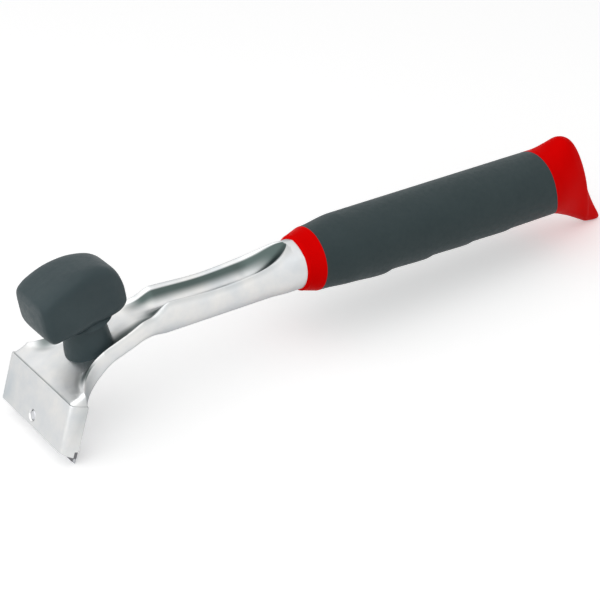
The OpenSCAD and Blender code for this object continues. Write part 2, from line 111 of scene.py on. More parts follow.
INSERT_LEN = 14.0
SPOT_T = 5.0
HOLE_GAP = 0.3
FIT_GAP = 0.05
PAST = 1.0
MM = 0.001

WALL_LOW = HEAD_H + FOOT_DROP
BLADE_LOW = WALL_LOW + BLADE_OUT
BLADE_HIGH = BLADE_LOW - BLADE_H
BLADE_MID = BLADE_LOW - BLADE_H / 2
BLADE_BACK = HEAD_WALL + BLADE_T
BLADE_W = HEAD_W - 2 * (CHEEK_T + BLADE_END_GAP)
PLATE_W = BLADE_W - PLATE_INSET
PLATE_MID = BLADE_HIGH + PLATE_DOWN + PLATE_H / 2
PLATE_BACK = BLADE_BACK + PLATE_T
CLAMP_HEAD_AT = PLATE_BACK + WASHER_T
WASHER_R = CLAMP_HEAD_R + WASHER_LIP
STEM_X = -HEAD_REACH + STEM_BACK
BEAK_Z = -GRIP_R - BEAK_H
CORE_R = GRIP_R - GRIP_T


def mix(a, b, t):
    return a + (b - a) * t


def ease(t):
    c = min(max(t, 0.0), 1.0)
    return c * c * (3 - 2 * c)


def fade(x, start, end):
    return ease((x - start) / (end - start))


def band(x, span):
    """Rises from 0 to 1 over the first two values of a span, and falls again over the last two."""
    return fade(x, span[0], span[1]) * (1 - fade(x, span[2], span[3]))


def soft_min(a, b, r):
    """The smaller of two values, rounded where they cross."""
    return (a + b - math.sqrt((a - b) ** 2 + r * r)) / 2


def arc_off(d, r):
    """How far an arc of radius r, which leaves a straight line at d = 0, has turned from it."""
    c = min(max(d, 0.0), r)
    return r - math.sqrt(r * r - c * c)


def through(points, t):
    """A smooth curve through a list of points, at t from 0 to the last index."""
    last = len(points) - 1
    i = min(int(t), last - 1)
    u = t - i
    a, b, c, d = points[max(i - 1, 0)], points[i], points[i + 1], points[min(i + 2, last)]
    return [q + u / 2 * (r - p + u * (2 * p - 5 * q + 4 * r - s + u * (3 * (q - r) + s - p)))
            for p, q, r, s in zip(a, b, c, d)]


def bend(v, m):
    """Sine or cosine of a superellipse of exponent m: 2 is an ellipse, more is squarer."""
    return math.copysign(abs(v) ** (2 / m), v)


def turn(j, n):
    """Angle of point j of the n points round a ring."""
    return 2 * math.pi * j / n


# End cap: a back line and a belly line from the grip to the hollow back, with the half-width
# between them and the depth by which the middle of a section is drawn in. The first section is
# bowed like the grip's rear edge. The part lies on the blade's lower edge and on this cap's beak.
CAP_BACK = [(0, GRIP_R), (0.14, GRIP_R + LOBE_H * 0.17), (0.26, GRIP_R + LOBE_H * 0.6),
            (0.37, GRIP_R + LOBE_H), (0.48, GRIP_R + LOBE_H * 0.52),
            (0.558, mix(GRIP_R, BEAK_Z, 0.06)), (0.626, mix(GRIP_R, BEAK_Z, 0.2)),
            (0.688, mix(GRIP_R, BEAK_Z, 0.34)), (0.746, mix(GRIP_R, BEAK_Z, 0.475))]
CAP_BELLY = [(GRIP_TONGUE / CAP_LEN, -GRIP_R), (0.31, -GRIP_R - BEAK_H * 0.12),
             (0.42, -GRIP_R - BEAK_H * 0.28), (0.56, -GRIP_R - BEAK_H * 0.49),
             (0.74, -GRIP_R - BEAK_H * 0.8), (0.85, -GRIP_R - BEAK_H * 0.965), (1.04, BEAK_Z),
             (0.975, mix(GRIP_R, BEAK_Z, 0.87)), (0.824, mix(GRIP_R, BEAK_Z, 0.65))]
CAP_HALF = [1, 0.92, 0.82, 0.71, 0.59, 0.425, 0.27, 0.14, 0.04]
CAP_HOLLOW = [0, 0, 0, 0, 0, 0.04, 0.07, 0.05, 0]
CAP_LINES = [(GRIP_TO + CAP_LEN * back[0], back[1], GRIP_TO + CAP_LEN * belly[0], belly[1],
              GRIP_R * half, CAP_LEN * hollow)
             for back, belly, half, hollow in zip(CAP_BACK, CAP_BELLY, CAP_HALF, CAP_HOLLOW)]
EDGE_POWER = 3
STRAIGHT_FROM = 3


def edge_bow(s):
    """How far the grip's rear edge lies behind its top, at a height s from 1 down to -1."""
    return GRIP_TONGUE * ((1 - s) / 2) ** EDGE_POWER


def cap_ring(share, sides):
    """Section of the end cap, at a share of the way from the grip to the hollow back."""
    t = share * (len(CAP_LINES) - 1)
    x_top, z_top, x_low, z_low, w, hollow = through(CAP_LINES, t)
    bowed = max(0, 1 - t / STRAIGHT_FROM)
    ring = []
    for j in range(sides):
        s = math.sin(turn(j, sides))
        up = (1 + s) / 2
        x = mix(x_low, x_top, up) + (bowed * (edge_bow(s) - GRIP_TONGUE * (1 - up))
                                     - hollow * (1 - s * s))
        ring.append((x, -w * math.cos(turn(j, sides)), mix(z_low, z_top, up)))
    return ring


# Where the part lies, and the frames of its head and stem

EDGE_X = -HEAD_REACH + BLADE_BACK * math.cos(HEAD_LEAN) - BLADE_LOW * math.sin(HEAD_LEAN)
EDGE_Z = -HEAD_DROP - BLADE_BACK * math.sin(HEAD_LEAN) - BLADE_LOW * math.cos(HEAD_LEAN)
REST_STEPS = 28
REST_SIDES = 36
rest_points = [p for i in range(REST_STEPS + 1) for p in cap_ring(i / REST_STEPS, REST_SIDES)]
REST_TILT = math.atan(min((z - EDGE_Z) / (x - EDGE_X) for x, y, z in rest_points))
TILT = Matrix.Rotation(REST_TILT, 4, "Y")
AT_REST = TILT @ Matrix.Scale(MM, 4) @ Matrix.Translation((-EDGE_X, 0, -EDGE_Z))
AT_HEAD = (Matrix.Translation((-HEAD_REACH, 0, -HEAD_DROP))
           @ Matrix.Rotation(HEAD_LEAN, 4, "Y"))


def seat_z(x):
    return -HEAD_DROP + (x + HEAD_REACH) * math.tan(SEAT_SLOPE)


SEAT_MIDDLE = Matrix.Translation((STEM_X, 0, seat_z(STEM_X)))
AT_STEM = SEAT_MIDDLE @ Matrix.Rotation(-STEM_LEAN, 4, "Y")
AT_SEAT = SEAT_MIDDLE @ Matrix.Rotation(-SEAT_SLOPE, 4, "Y")
HERE = Matrix.Identity(4)
ALONG_X = Matrix.Rotation(math.pi / 2, 4, "Y")


# Mesh helpers

CYLINDER_SIDES = 96
SMOOTH_ANGLE = math.radians(32)


def mesh_object(name, points, faces, place):
    """A mesh from points in millimetres in the frame of `place`, put where the part lies."""
    mesh = bpy.data.meshes.new(name)
    mesh.from_pydata([AT_REST @ place @ Vector(p) for p in points], [], faces)
    mesh.update()
    obj = bpy.data.objects.new(name, mesh)
    bpy.context.scene.collection.objects.link(obj)
    return obj


def skin(name, rings, place=HERE, looped=False):
    """A skin over rings with equally many points: closed at both ends, or looped to its start."""
    n = len(rings[0])
    count = len(rings)
    points = [p for ring in rings for p in ring]
    faces = []
    for i in range(count if looped else count - 1):
        low, high = i * n, (i + 1) % count * n
        faces += [(low + j, low + (j + 1) % n, high + (j + 1) % n, high + j) for j in range(n)]
    if not looped:
        faces += [tuple(reversed(range(n))), tuple(range((count - 1) * n, count * n))]
    return mesh_object(name, points, faces, place)


def circle(r, sides, z):
    return [(r * math.cos(turn(j, sides)), r * math.sin(turn(j, sides)), z) for j in range(sides)]


def cylinder(name, r, low, high, place):
    return skin(name, [circle(r, CYLINDER_SIDES, low), circle(r, CYLINDER_SIDES, high)], place)


def box_mesh(name, low, high, place):
    points = [(x, y, z) for x in (low[0], high[0]) for y in (low[1], high[1])
              for z in (low[2], high[2])]
    faces = [(0, 1, 3, 2), (4, 6, 7, 5), (0, 4, 5, 1), (2, 3, 7, 6), (0, 2, 6, 4), (1, 5, 7, 3)]
    return mesh_object(name, points, faces, place)


def combine(obj, other, operation):
    """Adds or cuts another mesh, and removes it."""
    modifier = obj.modifiers.new("combine", "BOOLEAN")
    modifier.operation = operation
    modifier.object = other
    modifier.solver = "EXACT"
    graph = bpy.context.evaluated_depsgraph_get()
    mesh = bpy.data.meshes.new_from_object(obj.evaluated_get(graph))
    obj.modifiers.clear()
    obj.data = mesh
    bpy.data.objects.remove(other)


def smooth(obj):
    for polygon in obj.data.polygons:
        polygon.use_smooth = True
    obj.data.set_sharp_from_angle(angle=SMOOTH_ANGLE)


# Shaft: a round bar with a hollow in its top, which turns into the neck and flares to the head.
# Spans lie along x, and FLAT shares are the flat part of the floor's half-width.

SEAT_END = -HEAD_REACH + (HEAD_DROP + HOLLOW_FLOOR) / math.tan(SEAT_SLOPE)
FLARE_X = -HEAD_REACH + FLARE_FROM
FLARE_EDGE = 0.4
LEAST_OPENING = 0.4
ROOT_SPAN = (-16, -5)
WAIST_SPAN = (SEAT_END + 14, SEAT_END - 6)
LIP_SPAN = (SEAT_END + 13.5, SEAT_END + 3)
LIP_SAG = 1.4
SAG_SPAN = (-68, -14)
FLANGE_SPAN = (4 - HEAD_REACH, 11 - HEAD_REACH)
BEHIND_STEM = (-86, -78)
SQUARE_SPAN = (FLARE_X + 2, FLARE_X - 8)
BAR_SQUARE = 2
NECK_SQUARE = 2.4
HEAD_SQUARE = 4.5
FLAT_STEM = 0.93
FLAT_HEAD = 0.78
FLAT_BEHIND = 0.66
SOFT_SEAT = 0.5
SOFT_LIP = 0.5
UNDER_STEPS = 30
SIDE_STEPS = 16
FLOOR_STEPS = 40
FLOOR_SPACING = 1.4
LIP_PASSES = 10
RING_STEP = 0.5


def shaft_radius(x):
    return mix(SHAFT_R, ROOT_R, fade(x, *ROOT_SPAN))


def waist(x):
    """0 in the round bar and 1 in the neck."""
    return fade(x, *WAIST_SPAN)


def half_w(x):
    straight = mix(shaft_radius(x), NECK_W / 2, waist(x))
    return min(HEAD_W / 2 - FLARE_EDGE, straight + arc_off(FLARE_X - x, FLARE_R))


def under_z(x):
    neck = seat_z(x) - mix(NECK_T, ROOT_T, fade(x, FLARE_X, -HEAD_REACH))
    return mix(-shaft_radius(x), neck, waist(x))


def hollow_in(x):
    """0 at the hollow's rear end and 1 where it has its full depth."""
    return min(max((-HOLLOW_FROM - x) / HOLLOW_RUNOUT, 0), 1)


def floor_z(x):
    t = hollow_in(x)
    return soft_min(mix(ROOT_R, HOLLOW_FLOOR, (3 * t - t ** 3) / 2), seat_z(x), SOFT_SEAT)


def opening(x):
    """Half-width of the hollow at its lips, or of the seat between its flanges."""
    t = hollow_in(x)
    full = half_w(x) - mix(LIP_W, FLANGE_W, waist(x))
    return max(LEAST_OPENING, full * math.sqrt(1 - (1 - t) ** 2))


def lip_z(x):
    r = shaft_radius(x)
    y = min(opening(x), r)
    flange = FLANGE_H * fade(x, *FLANGE_SPAN)
    along = min(max((x - SAG_SPAN[0]) / (SAG_SPAN[1] - SAG_SPAN[0]), 0), 1)
    sag = LIP_SAG * math.sin(math.pi * along) ** 2
    return mix(math.sqrt(r * r - y * y) - sag, floor_z(x) + flange, fade(x, *LIP_SPAN))


def squareness(x):
    return mix(mix(BAR_SQUARE, NECK_SQUARE, waist(x)), HEAD_SQUARE, fade(x, *SQUARE_SPAN))


def trough(u, x):
    """Floor at share u of the opening, from 0 in its middle to 1 at the lip: a trough with soft
    lips, or a flat seat with flanges."""
    flat = mix(FLAT_HEAD, FLAT_STEM, fade(x, FLANGE_SPAN[1], STEM_X))
    flat = mix(flat, FLAT_BEHIND, fade(x, *BEHIND_STEM))
    return mix(mix(u * u, ease(u), SOFT_LIP), max(0, (u - flat) / (1 - flat)) ** 2, waist(x))


def half_section(x):
    """Near half of a section as (y, z), from the middle of the underside to that of the floor."""
    w, m, y_lip, lip, low = half_w(x), squareness(x), opening(x), lip_z(x), under_z(x)
    floor = floor_z(x)
    mid = mix(0, (lip + low) / 2, waist(x))
    up = (lip - mid) / (1 - (y_lip / w) ** m) ** (1 / m)
    t_lip = math.asin(min(1, ((lip - mid) / up) ** (m / 2)))
    points = []
    for i in range(UNDER_STEPS + 1):
        t = -math.pi / 2 * (1 - i / UNDER_STEPS)
        points.append((-w * bend(math.cos(t), m), mid + (mid - low) * bend(math.sin(t), m)))
    for i in range(1, SIDE_STEPS + 1):
        t = t_lip * i / SIDE_STEPS
        points.append((-w * bend(math.cos(t), m), mid + up * bend(math.sin(t), m)))
    for i in range(1, FLOOR_STEPS + 1):
        u = 1 - (i / FLOOR_STEPS) ** FLOOR_SPACING
        points.append((-y_lip * u, mix(floor, lip, trough(u, x))))
    return points


def rounded_lip(points):
    """Rounds the corner between the outside and the hollow."""
    first = UNDER_STEPS + SIDE_STEPS // 2
    last = UNDER_STEPS + SIDE_STEPS + FLOOR_STEPS // 2
    for _ in range(LIP_PASSES):
        moved = list(points)
        for i in range(first, last):
            around = zip(points[i - 1], points[i], points[i + 1])
            moved[i] = tuple((a + 2 * b + c) / 4 for a, b, c in around)
        points = moved
    return points


def section(x):
    """Whole section: the near half, whose ends lie in the middle, and its mirror image."""
    near = rounded_lip(half_section(x))
    return near + [(-y, z) for y, z in reversed(near[1:-1])]


def shaft_rings():
    """Sections from the front face to the collar, then the root and the tang in the handle."""
    rings = []
    for i in range(int(HEAD_REACH / RING_STEP)):
        x = -HEAD_REACH + RING_STEP * i
        rings.append([(x, y, z) for y, z in section(x)])
    root = section(0)
    tang = [(y * TANG_R / math.hypot(y, z), z * TANG_R / math.hypot(y, z)) for y, z in root]
    for x, outline in ((0, root), (SOCKET_D, root), (SOCKET_D, tang), (TANG_LEN, tang)):
        rings.append([(x, y, z) for y, z in outline])
    return rings


# Head: a block whose edges are a little rounded, and a fine step where the seat begins behind
# its top front edge

SOFT_EDGE = 0.3
SEAM = 0.45
BACK_ROUND = 0.4
TOP_FALL = 0.07  # keeps the head's own top under the seat behind the front edge
CORNER_STEPS = 8
QUARTER = 90
FOOT_STEP = 15


def head_outline(inset):
    """Plan of the head, as (back from the front face, across)."""
    back = HEAD_T - BACK_ROUND
    corners = [(HEAD_ROUND, 1, -1, HEAD_ROUND), (back, 1, 1, BACK_ROUND),
               (back, -1, 1, BACK_ROUND), (HEAD_ROUND, -1, -1, HEAD_ROUND)]
    points = []
    for at, side, ahead, r in corners:
        for i in range(CORNER_STEPS + 1):
            a = math.pi / 2 * (i / CORNER_STEPS if side * ahead > 0 else 1 - i / CORNER_STEPS)
            out = r - inset
            points.append((at + ahead * out * math.sin(a),
                           side * (HEAD_W / 2 - r + out * math.cos(a))))
    return points


def head_rings():
    """Outlines of the head from its sloping foot to its top, drawn in at both edges."""
    foot = [(math.sin(math.radians(a)), math.cos(math.radians(a)))
            for a in range(0, QUARTER + 1, FOOT_STEP)]
    slope = FOOT_DROP / HEAD_WALL
    low = [[(x, y, -min(HEAD_H + slope * x, WALL_LOW) + SOFT_EDGE * (1 - s))
            for x, y in head_outline(SOFT_EDGE * (1 - c))] for s, c in reversed(foot)]
    high = [[(x, y, -SOFT_EDGE * (1 - s) - TOP_FALL * x)
             for x, y in head_outline(SOFT_EDGE * (1 - c))] for s, c in foot]
    return low + high


def slot_below(start, end, width, depth):
    """Cutter for a space behind the head's front wall, open below."""
    low = (start, -width / 2, -WALL_LOW - PAST)
    return box_mesh("slot", low, (end, width / 2, -depth), AT_HEAD)


shaft = skin("shaft_casting", shaft_rings())
in_front = box_mesh("front", (-HEAD_W, -HEAD_W, -HEAD_W), (SEAM, HEAD_W, HEAD_W), AT_HEAD)
combine(shaft, in_front, "DIFFERENCE")
combine(shaft, skin("head_block", head_rings(), AT_HEAD), "UNION")
CLAMP_AXIS = AT_HEAD @ Matrix.Translation((0, 0, -BLADE_MID)) @ ALONG_X
cutters = [
    slot_below(HEAD_WALL, HEAD_WALL + HEAD_T, HEAD_W - 2 * CHEEK_T, BLADE_HIGH),
    slot_below(HEAD_WALL, HEAD_WALL + HEAD_T, HEAD_W + 2 * PAST, WALL_LOW - CHEEK_UP),
    slot_below(BLADE_BACK, PLATE_BACK + HOLE_GAP, PLATE_W + 2 * HOLE_GAP,
               PLATE_MID - PLATE_H / 2 - HOLE_GAP),
    slot_below(BLADE_BACK, CLAMP_HEAD_AT + CLAMP_HEAD_H + PAST, 2 * (WASHER_R + HOLE_GAP),
               BLADE_MID - WASHER_R - HOLE_GAP),
    cylinder("clamp_hole", CLAMP_SCREW_R + FIT_GAP, -PAST, HEAD_T + PAST, CLAMP_AXIS),
    skin("countersink", [circle(CLAMP_SCREW_R + 2 * COUNTERSINK, CYLINDER_SIDES, -COUNTERSINK),
                         circle(CLAMP_SCREW_R, CYLINDER_SIDES, COUNTERSINK)], CLAMP_AXIS),
    cylinder("screw_hole", KNOB_SCREW_R + HOLE_GAP, -NECK_T * 2, NECK_T, AT_STEM),
    cylinder("spot_face", KNOB_HEAD_R + WASHER_LIP + HOLE_GAP, -SPOT_T - NECK_T * 2, -SPOT_T,
             AT_STEM),
]
for cutter in cutters:
    combine(shaft, cutter, "DIFFERENCE")
smooth(shaft)


# Handle: the red moulding with collar, sleeve and end cap, and the soft grip over the sleeve

HANDLE_SIDES = 128
CAP_STEPS = 120
COLLAR_STEPS = 10
RIM_STEP = 9


def ring_x(r, x):
    return [(x, -r * math.cos(turn(j, HANDLE_SIDES)), r * math.sin(turn(j, HANDLE_SIDES)))
            for j in range(HANDLE_SIDES)]


def bowed_ring(r):
    """Ring along the grip's rear edge."""
    ring = []
    for j in range(HANDLE_SIDES):
        s = math.sin(turn(j, HANDLE_SIDES))
        ring.append((GRIP_TO + edge_bow(s), -r * math.cos(turn(j, HANDLE_SIDES)), r * s))
    return ring


def core_rings():
    """Rings from the sleeve's end inside, over the collar's rim and the sleeve to the cap."""
    front_r = ROOT_R + COLLAR_RIM
    inside = [(TANG_R + FIT_GAP, TANG_LEN + FIT_GAP), (TANG_R + FIT_GAP, SOCKET_D + FIT_GAP),
              (ROOT_R + FIT_GAP, SOCKET_D + FIT_GAP), (ROOT_R + FIT_GAP, 0)]
    arc = [math.radians(a) for a in range(0, QUARTER + 1, RIM_STEP)]
    rim = [(front_r - COLLAR_ROUND * (1 - math.sin(a)), COLLAR_ROUND * (1 - math.cos(a)))
           for a in arc]
    shares = [i / COLLAR_STEPS for i in range(1, COLLAR_STEPS + 1)]
    collar = [(mix(front_r, COLLAR_R, t), mix(COLLAR_ROUND, COLLAR_LEN, t)) for t in shares]
    rings = [ring_x(r, x) for r, x in inside + rim + collar + [(CORE_R, COLLAR_LEN)]]
    rings += [bowed_ring(CORE_R)]
    return rings + [cap_ring(i / CAP_STEPS, HANDLE_SIDES) for i in range(CAP_STEPS + 1)]


core = skin("handle_moulding", core_rings())
smooth(core)

SWELL_TOP = 16.0
SWELL_LOW = 32.0
RIDGE_CREST = 0.85
RIDGE_FALL = 0.2
GRIP_STEPS = 240


def ridge(x):
    """Height of the finger ridges, which rise slowly and drop quickly."""
    k = (x - RIDGE_FROM) / RIDGE_PITCH + 1
    if k < 0 or k >= RIDGE_COUNT:
        return 0
    u = k - int(k)
    form = ease(u / RIDGE_CREST) if u < RIDGE_CREST else 1 - fade(u, RIDGE_CREST, 1)
    return RIDGE_H * (1 - RIDGE_FALL) ** int(k) * form


def swell(x, length):
    """Radius of the grip, which grows behind the collar over a length."""
    return mix(COLLAR_R, GRIP_R, fade(x, COLLAR_LEN, COLLAR_LEN + length))


def grip_ring(share):
    """Ring of the grip, at a share of the way from the collar to its bowed rear edge."""
    ring = []
    for j in range(HANDLE_SIDES):
        s = math.sin(turn(j, HANDLE_SIDES))
        x = mix(COLLAR_LEN, GRIP_TO + edge_bow(s), share)
        w = swell(x, SWELL_TOP)
        low = swell(x, SWELL_LOW) + ridge(x)
        z = (w if s > 0 else mix(w, low, s * s)) * s
        ring.append((x, -w * math.cos(turn(j, HANDLE_SIDES)), z))
    return ring


grip_rings = [grip_ring(i / GRIP_STEPS) for i in range(GRIP_STEPS + 1)]
grip_rings += [bowed_ring(CORE_R + FIT_GAP), ring_x(CORE_R + FIT_GAP, COLLAR_LEN)]
grip = skin("soft_grip", grip_rings, looped=True)
smooth(grip)


# Knob: along X in the stem's frame, from its flat front to its rounded back. A station holds
# shares of the knob's length, width and height: how far back, how wide, its lowest and its top.

KNOB_STATIONS = [
    (0, 0.76, 0.19, 0.62), (0.02, 0.9, 0.11, 0.745), (0.07, 0.985, 0.01, 0.81),
    (0.17, 1.01, 0, 0.885), (0.35, 1, 0, 0.962), (0.55, 0.93, 0, 0.985),
    (0.72, 0.85, -0.01, 0.94), (0.84, 0.79, 0, 0.855), (0.92, 0.68, 0.03, 0.72),
    (0.975, 0.5, 0.08, 0.45), (1, 0.2, 0.15, 0.27)]
KNOB_SQUARE = 5.0
KNOB_STEPS = 120
KNOB_SIDES = 160
STEM_SIDES = 128
STEM_FILLET = 3.0
FILLET_STEPS = 12
FOOT_SHARE = 0.63


def knob_ring(share):
    """Section of the knob, at a share of the way through its stations."""
    along, wide, low, top = through(KNOB_STATIONS, share * (len(KNOB_STATIONS) - 1))
    x = KNOB_LEN * along - KNOB_AHEAD
    ring = []
    for j in range(KNOB_SIDES):
        a = turn(j, KNOB_SIDES)
        up = (1 + bend(math.sin(a), KNOB_SQUARE)) / 2
        ring.append((x, -KNOB_W / 2 * wide * bend(math.cos(a), KNOB_SQUARE),
                     STEM_H + KNOB_H * mix(low, top, up)))
    return ring


def stem_rings():
    """Rings of the stem from below the seat, with a fillet under the knob."""
    profile = [(STEM_FOOT_R, -STEM_R), (STEM_FOOT_R, 0), (STEM_R, STEM_H * FOOT_SHARE),
               (STEM_R, STEM_H - STEM_FILLET)]
    for i in range(1, FILLET_STEPS):
        a = math.pi / 2 * i / FILLET_STEPS
        profile.append((STEM_R + STEM_FILLET * (1 - math.cos(a)),
                        STEM_H - STEM_FILLET * (1 - math.sin(a))))
    profile += [(STEM_R + STEM_FILLET, STEM_H), (STEM_R, STEM_H + STEM_FILLET)]
    return [circle(r, STEM_SIDES, z) for r, z in profile]


knob = skin("palm_knob", [knob_ring(i / KNOB_STEPS) for i in range(KNOB_STEPS + 1)], AT_STEM)
combine(knob, skin("stem", stem_rings(), AT_STEM), "UNION")
under_seat = box_mesh("seat", (-HEAD_W, -HEAD_W, -2 * HEAD_W), (HEAD_W, HEAD_W, 0), AT_SEAT)
combine(knob, under_seat, "DIFFERENCE")
bore = cylinder("bore", INSERT_R + FIT_GAP, -STEM_R, INSERT_LOW + INSERT_LEN, AT_STEM)
combine(knob, bore, "DIFFERENCE")
smooth(knob)


# Materials. Scales of noise are per metre, bumps are in metres.

ROUGHER = 0.08
RUBBER_SMOOTHER = 0.05
METAL_SMOOTHER = 0.06


def material(name, colour, roughness, metallic=0.0):
    """A material with its nodes, and its principled shader."""
    result = bpy.data.materials.new(name)
    result.use_nodes = True
    shader = result.node_tree.nodes["Principled BSDF"]
    shader.inputs["Base Color"].default_value = (*colour, 1)
    shader.inputs["Roughness"].default_value = roughness
    shader.inputs["Metallic"].default_value = metallic
    return result, shader


def noise(tree, scale, detail=3.0, roughness=0.5, stretch=(1, 1, 1)):
    """Noise in the part's own frame, finer along an axis that is stretched more."""
    nodes, links = tree.nodes, tree.links
    where = nodes.new("ShaderNodeTexCoord")
    mapping = nodes.new("ShaderNodeMapping")
    mapping.inputs["Scale"].default_value = stretch
    texture = nodes.new("ShaderNodeTexNoise")
    texture.inputs["Scale"].default_value = scale
    texture.inputs["Detail"].default_value = detail
    texture.inputs["Roughness"].default_value = roughness
    links.new(where.outputs["Object"], mapping.inputs["Vector"])
    links.new(mapping.outputs["Vector"], texture.inputs["Vector"])
    return texture.outputs["Fac"]


def scaled(tree, value, low, high, start=0.3, end=0.7):
    """Maps a value's range, by default the middle range of a noise, to another range."""
    node = tree.nodes.new("ShaderNodeMapRange")
    node.inputs["From Min"].default_value = start
    node.inputs["From Max"].default_value = end
    node.inputs["To Min"].default_value = low
    node.inputs["To Max"].default_value = high
    tree.links.new(value, node.inputs["Value"])
    return node.outputs["Result"]


COLOUR_INPUTS = (6, 7)  # a Mix node's own sockets for two colours, and for their blend
COLOUR_OUTPUT = 2


def blended(tree, factor, a, b):
    """Colour a where the factor is 0 and b where it is 1. Either may be a colour or a socket."""
    node = tree.nodes.new("ShaderNodeMix")
    node.data_type = "RGBA"
    tree.links.new(factor, node.inputs["Factor"])
    for key, colour in zip(COLOUR_INPUTS, (a, b)):
        if isinstance(colour, tuple):
            node.inputs[key].default_value = (*colour, 1)
        else:
            tree.links.new(colour, node.inputs[key])
    return node.outputs[COLOUR_OUTPUT]


def bumped(tree, shader, height, distance, normal=None):
    """Bumps a shader's normal, on top of another bump if that is given."""
    node = tree.nodes.new("ShaderNodeBump")
    node.inputs["Distance"].default_value = distance
    node.inputs["Strength"].default_value = 1.0
    tree.links.new(height, node.inputs["Height"])
    if normal:
        tree.links.new(normal, node.inputs["Normal"])
    tree.links.new(node.outputs["Normal"], shader.inputs["Normal"])
    return node.outputs["Normal"]


def cast_aluminium():
    """Tumbled casting: pale, a little mottled, with a finely pitted skin, painted shade and a dark
    seam line.
    """
    result, shader = material("cast_aluminium", (0.8, 0.81, 0.82), roughness=0.4, metallic=1.0)
    shader.inputs["Specular Tint"].default_value = (0.55, 0.57, 0.59, 1)
    cool, warm = (0.665, 0.68, 0.69), (0.75, 0.745, 0.73)
    # dark is the colour of the painted shade in and beside the hollow, and of the dark seam line
    patch, dark = (0.55, 0.59, 0.62), (0.075, 0.10, 0.095)
    tree = result.node_tree
    mottle = noise(tree, scale=90, detail=4, roughness=0.6)
    fine = blended(tree, scaled(tree, mottle, 0, 1, start=0.35, end=0.65), cool, warm)
    patches = scaled(tree, noise(tree, scale=40), low=0, high=0.8, start=0.5, end=0.7)
    clean = blended(tree, patches, fine, patch)
    # The "hollow" attribute blends in the painted shade and the dark seam line on the fine step
    hollow = tree.nodes.new("ShaderNodeAttribute")
    hollow.attribute_name = "hollow"
    colour = blended(tree, hollow.outputs["Fac"], clean, dark)
    tree.links.new(colour, shader.inputs["Base Color"])
    rough = scaled(tree, noise(tree, scale=240), low=0.29, high=0.40)
    tree.links.new(rough, shader.inputs["Roughness"])
    waves = bumped(tree, shader, noise(tree, scale=70, detail=2), distance=0.0003)
    grain = noise(tree, scale=2600, roughness=0.65)
    bumped(tree, shader, grain, distance=0.00002, normal=waves)
    return result


def rubber(name, colour, pale, roughness):
    """Soft moulding: matt, with a fine grain and slightly uneven colour."""
    result, shader = material(name, colour, roughness)
    shader.inputs["Specular IOR Level"].default_value = 0.25
    tree = result.node_tree
    uneven = blended(tree, scaled(tree, noise(tree, scale=60), 0, 1), colour, pale)
    tree.links.new(uneven, shader.inputs["Base Color"])
    rough = scaled(tree, noise(tree, scale=500), roughness - RUBBER_SMOOTHER, roughness + ROUGHER)
    tree.links.new(rough, shader.inputs["Roughness"])
    soft = bumped(tree, shader, noise(tree, scale=300, detail=2), distance=0.00008)
    grain = noise(tree, scale=3800, roughness=0.6)
    bumped(tree, shader, grain, distance=0.00004, normal=soft)
    return result


def red_plastic():
    """Moulding with a sheen of its own colour and the faint waviness of a moulded face."""
    result, shader = material("red_plastic", (0.64, 0.002, 0.002), roughness=0.4)
    shader.inputs["Specular IOR Level"].default_value = 0.01
    shader.inputs["Specular Tint"].default_value = (1.0, 0.05, 0.05, 1)
    deep, bright = (0.74, 0.001, 0.001), (0.84, 0.002, 0.002)
    tree = result.node_tree
    colour = blended(tree, scaled(tree, noise(tree, scale=45), 0, 1), deep, bright)
    tree.links.new(colour, shader.inputs["Base Color"])
    rough = scaled(tree, noise(tree, scale=180), low=0.36, high=0.46)
    tree.links.new(rough, shader.inputs["Roughness"])
    bumped(tree, shader, noise(tree, scale=70, detail=2), distance=0.00005)
    return result


def machined(name, dark, pale, roughness, grain, stretch=(1, 1, 1)):
    """Metal with fine marks that run across the axis that is stretched."""
    result, shader = material(name, pale, roughness, metallic=1.0)
    tree = result.node_tree
    marks = noise(tree, grain, roughness=0.6, stretch=stretch)
    colour = blended(tree, scaled(tree, marks, 0, 1), dark, pale)
    tree.links.new(colour, shader.inputs["Base Color"])
    rough = scaled(tree, marks, roughness - METAL_SMOOTHER, roughness + ROUGHER)
    tree.links.new(rough, shader.inputs["Roughness"])
    bumped(tree, shader, marks, distance=0.00003)
    return result


def finish(obj, finish_material):
    obj.data.materials.clear()
    obj.data.materials.append(finish_material)


aluminium = cast_aluminium()
grip_rubber = rubber("grip_rubber", colour=(0.026, 0.043, 0.046), pale=(0.031, 0.049, 0.052),
                     roughness=0.55)
knob_rubber = rubber("knob_rubber", colour=(0.034, 0.054, 0.060), pale=(0.045, 0.068, 0.074),
                     roughness=0.45)
finish(shaft, aluminium)
finish(core, red_plastic())
finish(grip, grip_rubber)
finish(knob, knob_rubber)

plated = machined("plated_steel", dark=(0.52, 0.53, 0.55), pale=(0.66, 0.67, 0.69),
                  roughness=0.35, grain=400)
blackened = machined("dark_steel", dark=(0.12, 0.12, 0.13), pale=(0.2, 0.2, 0.21),
                     roughness=0.38, grain=500)
brass = machined("brass", dark=(0.66, 0.47, 0.2), pale=(0.76, 0.57, 0.28),
                 roughness=0.3, grain=300, stretch=(1, 1, 6))
carbide = machined("carbide", dark=(0.42, 0.43, 0.45), pale=(0.54, 0.55, 0.57),
                   roughness=0.25, grain=500, stretch=(6, 0.4, 1))
NODE_FINISHES = {
    "knob_insert": brass, "knob_screw": blackened, "clamp_screw": plated, "knob_washer": plated,
    "clamp_washer": plated, "clamp_plate": plated, "blade_body": blackened,
    "upper_carbide": carbide, "lower_carbide": carbide}
EDGE_ROUND = 0.12 * MM
EDGE_SEGMENTS = 2
EDGE_ANGLE = math.radians(40)
for name, node_finish in NODE_FINISHES.items():
    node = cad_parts[name]
    finish(node, node_finish)
    soften = node.modifiers.new("soft_edges", "BEVEL")
    soften.width = EDGE_ROUND
    soften.segments = EDGE_SEGMENTS
    soften.limit_method = "ANGLE"
    soften.angle_limit = EDGE_ANGLE
